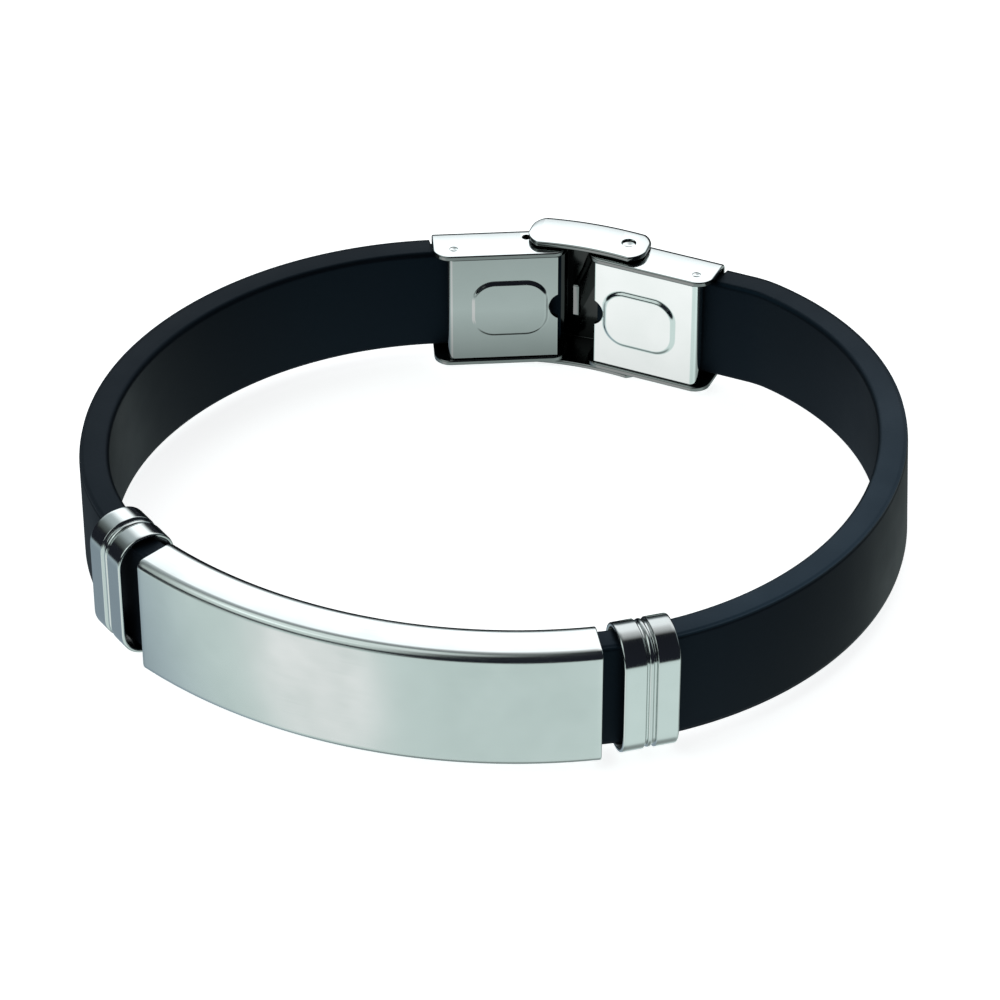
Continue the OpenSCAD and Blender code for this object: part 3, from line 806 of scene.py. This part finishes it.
class BRACELET_OT_flaps(bpy.types.Operator):
    """Flaps: sheet whose inner face runs from the free edge into a knuckle rolled round the pin, with
    a nail notch and a pressed oval; the section is carried up the flap and pushed into the loop
    inside the oval by a smooth step of the distance to its outline."""
    bl_idname = "bracelet.flaps"
    bl_label = "Build flaps"

    def relief(self, x, z, c):
        """Height of the pressed oval: a smooth step across the edge of a rounded rectangle."""
        r = c["press_height"] * PRESS_ROUND
        qx = np.abs(x) - (c["press_length"] / 2 - r)
        qz = np.abs(z) - (c["press_height"] / 2 - r)
        distance = np.hypot(np.maximum(qx, 0), np.maximum(qz, 0)) + np.minimum(np.maximum(qx, qz), 0) - r
        return c["press_depth"] * smooth((PRESS_FOOT - distance) / PRESS_WALL)

    def execute(self, context):
        c = sizes("clasp")
        half = c["box_height"] / 2 - c["sheet"] - FLAP_SIDE_GAP
        edge, sheet, r = 0.1, c["flap_sheet"], KNUCKLE_R
        notch = sqrt(NOTCH_R ** 2 - NOTCH_OUT ** 2)
        near = NOTCH_R * np.sin(np.linspace(-1, 1, 31) * np.arcsin(notch / NOTCH_R))
        run, _ = rounded_run(-half, half, edge, 0.1)
        z = np.unique(np.round(np.concatenate([run[np.abs(run) > notch + 0.02], near]), 5))
        inset = corner_fall(z, -half, half, edge)[:, None]
        low, high = -c["flap_inside"], -c["flap_inside"] + sheet
        share = np.linspace(0, 1, 90)
        quarter = np.linspace(pi / 2, 3 * pi / 2, 9)[1:-1]
        corner = np.linspace(-pi / 2, 0, 10)
        eye = np.linspace(0, pi, 18)
        for which in ("left", "right"):
            free = BOX_START[which] + FLAP_START
            pin = BOX_START[which] + FLAP_PIN_AT
            dent = np.maximum(np.sqrt(np.maximum(NOTCH_R ** 2 - z ** 2, 0)) - NOTCH_OUT, 0)
            first = free + dent[:, None] + edge
            middle_x = (free + pin - r) / 2

            def face(x):
                return -self.relief(x - middle_x, z[:, None], c)

            x = first + share * (pin - 0.1 - first)
            back_x = first + share[::-1] * (pin - r - first)
            rim = r - inset
            nose = (low + high) / 2 + (sheet / 2 - inset) * np.sin(quarter)
            parts = ((x, low + inset + face(x)),
                     (pin + rim * np.cos(corner), low + r + rim * np.sin(corner)),
                     (pin + rim * np.cos(eye), -FLAP_PIN_IN + rim * np.sin(eye)),
                     (back_x + inset, high - inset + face(back_x)),
                     (first + (edge - inset) * np.cos(quarter), nose))
            px, py = (np.concatenate([np.broadcast_to(p[i], (len(z), p[i].shape[1])) for p in parts], 1)
                      for i in (0, 1))
            rings = in_clasp(which, px, py, z[:, None])
            grain = paired(z[:, None], px)
            # Painted shade from the lower edge to the upper edge; the right flap is painted lighter
            painted_shade = np.interp(z, (-half, 0, half), FLAP_SHADE[which])[:, None]
            piece = Shells().add(rings, grain, painted_light=painted_shade).finish("flap_clamp_" + which)
            place_piece(piece, "flap_" + which, "steel", steel(MIRROR), "flap_" + which)
        return {"FINISHED"}


class BRACELET_OT_lever(bpy.types.Operator):
    """Lever: a U-shaped channel with a curved back and rounded wall corners; the back is cut away
    round the pivot, and a catch tongue stands inside."""
    bl_idname = "bracelet.lever"
    bl_label = "Build lever"

    def execute(self, context):
        z = sizes("clasp")
        half = z["box_height"] / 2 + LEVER_SIDE_GAP + z["sheet"]
        start, end = LEVER_MID - z["lever_length"] / 2, LEVER_MID + z["lever_length"] / 2
        fall = LEVER_BACK_R - sqrt(LEVER_BACK_R ** 2 - (z["lever_length"] / 2) ** 2)

        def out(x):
            # the back's arc, cut off by the round corners at its ends
            arc = LEVER_OUT - LEVER_BACK_R + np.sqrt(LEVER_BACK_R ** 2 - (x - LEVER_MID) ** 2)
            return np.minimum(arc, LEVER_OUT - corner_fall(x, start, end, LEVER_CORNER))

        def tip(x):
            inner = LEVER_BACK_R - z["lever_depth"]
            arc = LEVER_OUT - LEVER_BACK_R + np.sqrt(inner ** 2 - (x - LEVER_MID) ** 2)
            corner = corner_fall(x, start, end, LEVER_CORNER)
            return np.maximum(arc, LEVER_OUT - z["lever_depth"] - fall + corner)

        at, outline, inside = channel(start, end, out, tip, half, z["sheet"], BEND_R, LEVER_CORNER,
                                      LEVER_EDGE_R)
        rings = in_clasp("lever", at[:, None], outline[..., 0], outline[..., 1])
        # The lever's channel gets its painted shade
        piece = Shells().add(rings, ring_lengths(rings), painted_light=inside).finish("lever_cover")
        inner = half - z["sheet"]
        box = rounded([(-9, -inner), (9, -inner), (9, inner), (-9, inner)], [0.05] * 4, 2)
        x = np.array([LEVER_BACK_END, LEVER_BACK_END + 20])
        cut(piece, in_clasp("lever", x[:, None], box[..., 0], box[..., 1]))
        cut(piece, upright("right", PIVOT, RIVET_D / 2 + RIVET_PLAY, -2 * half, 2 * half))
        (x0, x1), (y0, y1), tall = TONGUE
        y, inset = rounded_run(y0, y1, TONGUE_R, 0.5)
        corners = [(x0, -tall / 2), (x1, -tall / 2), (x1, tall / 2), (x0, tall / 2)]
        tab = rounded(corners, [TONGUE_R] * 4, 5, inset)
        # The tongue is painted in shade
        tongue = Shells().add(in_clasp("lever", tab[..., 0], y[:, None], tab[..., 1]), painted_light=TONGUE_SHADE)
        tongue = tongue.finish("tongue")
        join(piece, tongue)
        place_piece(piece, "lever", "steel", steel(MIRROR), "lever")
        return {"FINISHED"}


def join(piece, other):
    """Adds the other object's mesh to the piece's."""
    with bpy.context.temp_override(active_object=piece, object=piece, selected_objects=[piece, other],
                                   selected_editable_objects=[piece, other]):
        bpy.ops.object.join()


class BRACELET_OT_pins(bpy.types.Operator):
    """Flap pins and pivot rivets: turned rounds with domed ends."""
    bl_idname = "bracelet.pins"
    bl_label = "Build pins"

    def execute(self, context):
        z = sizes("clasp")
        h = z["box_height"] / 2
        for which in ("left", "right"):
            at = (BOX_START[which] + FLAP_PIN_AT, -FLAP_PIN_IN)
            rings = upright(which, at, FLAP_PIN_D / 2, PIN_SHORT - h, h - PIN_SHORT, PIN_DOME)
            piece = Shells().add(rings).finish("flap_hinge_pin_" + which)
            place_piece(piece, "band", "steel", steel(MIRROR), "flap_pin_" + which)
        inner, outer = h - z["sheet"], h + LEVER_SIDE_GAP + z["sheet"] - RIVET_SHORT
        for which, low, high in (("top", inner, outer), ("bottom", -outer, -inner)):
            rings = upright("right", PIVOT, RIVET_D / 2, low, high, RIVET_DOME)
            piece = Shells().add(rings).finish("pivot_rivet_" + which)
            place_piece(piece, "band", "steel", steel(MIRROR), "rivet_" + which)
        return {"FINISHED"}


class BRACELET_OT_stage(bpy.types.Operator):
    """Stage: the camera of the photograph, a plain pale floor and soft studio light."""
    bl_idname = "bracelet.stage"
    bl_label = "Build stage"

    def camera(self):
        """The camera fitted to the photograph: it stands back from its target along one direction."""
        a, e = radians(CAMERA_AZIMUTH), radians(CAMERA_ELEVATION)
        back = Vector((sin(a) * cos(e), -cos(a) * cos(e), sin(e)))
        data = bpy.data.cameras.new("camera")
        data.sensor_width = SENSOR_MM
        data.sensor_fit = "HORIZONTAL"
        data.lens = CAMERA_FOCAL_PX / PICTURE_PX * SENSOR_MM
        data.clip_start, data.clip_end = 0.01, 50.0
        camera = new_object("camera", data)
        camera.location = (Vector(CAMERA_TARGET) + CAMERA_DISTANCE * back) * MM
        camera.rotation_euler = (-back).to_track_quat("-Z", "Y").to_euler()
        bpy.context.scene.camera = camera

    def floor(self):
        """A plain pale floor at height 0, which polished pieces don't mirror."""
        mesh = bpy.data.meshes.new("floor")
        r = FLOOR_HALF_M
        mesh.from_pydata([(-r, -r, 0), (r, -r, 0), (r, r, 0), (-r, r, 0)], [], [(0, 1, 2, 3)])
        floor = new_object("floor", mesh)
        paper = {"Base Color": settings("finish").floor, "Roughness": 0.9, "Specular IOR Level": 0.1,
                 "Emission Color": (1, 1, 1, 1), "Emission Strength": 0.8}
        mesh.materials.append(new_material("white paper floor", paper)[0])
        floor.visible_glossy = False

    def world(self):
        """Soft studio, worked out from the direction in which a polished face looks. Below is a pale
        table, darker straight down and to both sides, cooler on the left, with a warm glow left of the
        camera. Above it the room is dark, with a large bright panel behind the object, a softbox high on
        the left, a broad strip lamp at half height in front, a faint haze on the left and two weak side
        lights. Rays straight from the camera see plain white."""
        world = bpy.data.worlds.new("studio")
        world.use_nodes = True
        tree = world.node_tree
        tree.nodes.clear()
        way = add_node(tree, "ShaderNodeTexCoord").outputs["Generated"]

        def towards(azimuth, elevation):
            a, e = radians(azimuth), radians(elevation)
            unit = (sin(a) * cos(e), -cos(a) * cos(e), sin(e))
            return add_node(tree, "ShaderNodeVectorMath", {1: unit}, {0: way},
                            operation="DOT_PRODUCT").outputs["Value"]

        def step(value, start, full, low=0.0, high=1.0):
            ends = {"From Min": start, "From Max": full, "To Min": low, "To Max": high}
            return add_node(tree, "ShaderNodeMapRange", ends, {"Value": value},
                            interpolation_type="SMOOTHSTEP").outputs["Result"]

        def maths(operation, one, other=0.0):
            """One math node of two inputs, each an output or a plain number."""
            node = add_node(tree, "ShaderNodeMath", operation=operation)
            for socket, value in zip(node.inputs, (one, other)):
                if isinstance(value, float):
                    socket.default_value = value
                else:
                    tree.links.new(socket, value)
            return node.outputs[0]

        def times(one, other):
            return maths("MULTIPLY", one, other)

        def tinted(colour, amount):
            return add_node(tree, "ShaderNodeVectorMath", {0: colour}, {"Scale": amount},
                            operation="SCALE").outputs[0]

        def total(one, other):
            return add_node(tree, "ShaderNodeVectorMath", {}, {0: one, 1: other}, operation="ADD").outputs[0]

        up, down = towards(0, 90), towards(0, -90)
        # the table reaches higher in front, and is darker straight down, to both sides and far behind
        front = step(towards(-30, 10), 0.80, 0.95)
        rim = maths("MAXIMUM", step(down, 0.24, 0.37), times(front, step(down, 0.02, 0.16)))
        table = times(rim, step(down, 0.86, 0.99, 1.0, 0.35))
        for turn, tilt, *shading in ((70, -36, 0.85, 1.0, 1.0, 1.12), (-115, -36.5, 0.66, 1.0, 1.0, 0.38),
                                     (115, -30, 0.72, 1.0, 1.0, 0.45),
                                     (CAMERA_AZIMUTH, 0, -0.82, -0.6, 0.04, 1.0)):
            table = times(table, step(towards(turn, tilt), *shading))
        glow = times(step(towards(-28, -36.5), 0.962, 0.994), step(down, 0.3, 0.4))
        panel = times(step(towards(CAMERA_AZIMUTH + 180, 37), 0.60, 0.975), step(up, 0.28, 0.52))
        panel = times(panel, step(towards(-100, 60), 0.72, 0.93, 1.0, 0.12))
        box = step(towards(-45, 62), 0.885, 0.975)
        both_sides = maths("ADD", step(towards(-138, 28), 0.80, 0.96), step(towards(132, 26), 0.80, 0.96))
        sides = times(both_sides, step(up, 0.0, 0.25))
        # the strip lamp is a band round the height of 30 degrees
        off = maths("ABSOLUTE", maths("SUBTRACT", up, sin(radians(30))))
        band = step(off, 0.22, 0.32, 1.0, 0.0)
        strip = times(band, step(towards(-38, 30), 0.80, 0.96))
        haze = step(towards(-95, 60), 0.72, 0.98)
        cool = times(table, step(towards(-115, -36.5), 0.66, 1.0))
        light = tinted((0.75, 0.87, 0.85), table)
        for colour, amount in (((0.0, 0.06, 0.22), cool), ((0.38, 0.26, 0.28), glow),
                               ((1.6, 1.62, 1.65), panel), ((0.75, 0.84, 0.82), strip),
                               ((0.20, 0.23, 0.23), haze), ((0.8, 0.88, 0.86), box),
                               ((0.25, 0.3, 0.32), sides)):
            light = total(light, tinted(colour, amount))
        lit = add_node(tree, "ShaderNodeVectorMath", {1: (0.016, 0.018, 0.025)}, {0: light},
                       operation="MAXIMUM")
        studio = add_node(tree, "ShaderNodeBackground", {"Strength": 1.0}, {"Color": lit.outputs[0]})
        plain = add_node(tree, "ShaderNodeBackground", {"Color": (1, 1, 1, 1), "Strength": 1.0})
        seen = add_node(tree, "ShaderNodeLightPath").outputs["Is Camera Ray"]
        both = add_node(tree, "ShaderNodeMixShader", {}, {0: seen, 1: studio.outputs[0], 2: plain.outputs[0]})
        add_node(tree, "ShaderNodeOutputWorld", {}, {"Surface": both.outputs[0]})
        bpy.context.scene.world = world

    def execute(self, context):
        self.camera()
        self.floor()
        self.world()
        bpy.context.scene.view_settings.view_transform = "Standard"
        return {"FINISHED"}


OPERATORS = (BRACELET_OT_stage, BRACELET_OT_strap, BRACELET_OT_plate, BRACELET_OT_keepers, BRACELET_OT_boxes,
             BRACELET_OT_flaps, BRACELET_OT_lever, BRACELET_OT_pins)


class BRACELET_PT_panel(bpy.types.Panel):
    """Lists the operators and the sizes of each group."""
    bl_idname = "BRACELET_PT_panel"
    bl_label = "Bracelet"
    bl_space_type = "VIEW_3D"
    bl_region_type = "UI"
    bl_category = "Bracelet"

    def draw(self, context):
        for operator in OPERATORS:
            self.layout.operator(operator.bl_idname)
        for group, kind in SETTINGS.items():
            box = self.layout.box()
            for key in kind.__annotations__:
                box.prop(settings(group), key)


CLASSES = tuple(SETTINGS.values()) + OPERATORS + (BRACELET_PT_panel,)


def register():
    for item in CLASSES:
        bpy.utils.register_class(item)
    for group, kind in SETTINGS.items():
        setattr(bpy.types.Scene, "bracelet_" + group, PointerProperty(type=kind))


def unregister():
    for group in SETTINGS:
        delattr(bpy.types.Scene, "bracelet_" + group)
    for item in reversed(CLASSES):
        bpy.utils.unregister_class(item)


def main():
    """Builds the stage and every piece."""
    register()
    bpy.ops.bracelet.stage()
    bpy.ops.bracelet.strap()
    bpy.ops.bracelet.plate()
    bpy.ops.bracelet.keepers()
    bpy.ops.bracelet.boxes()
    bpy.ops.bracelet.flaps()
    bpy.ops.bracelet.lever()
    bpy.ops.bracelet.pins()


if __name__ == "__main__":
    main()
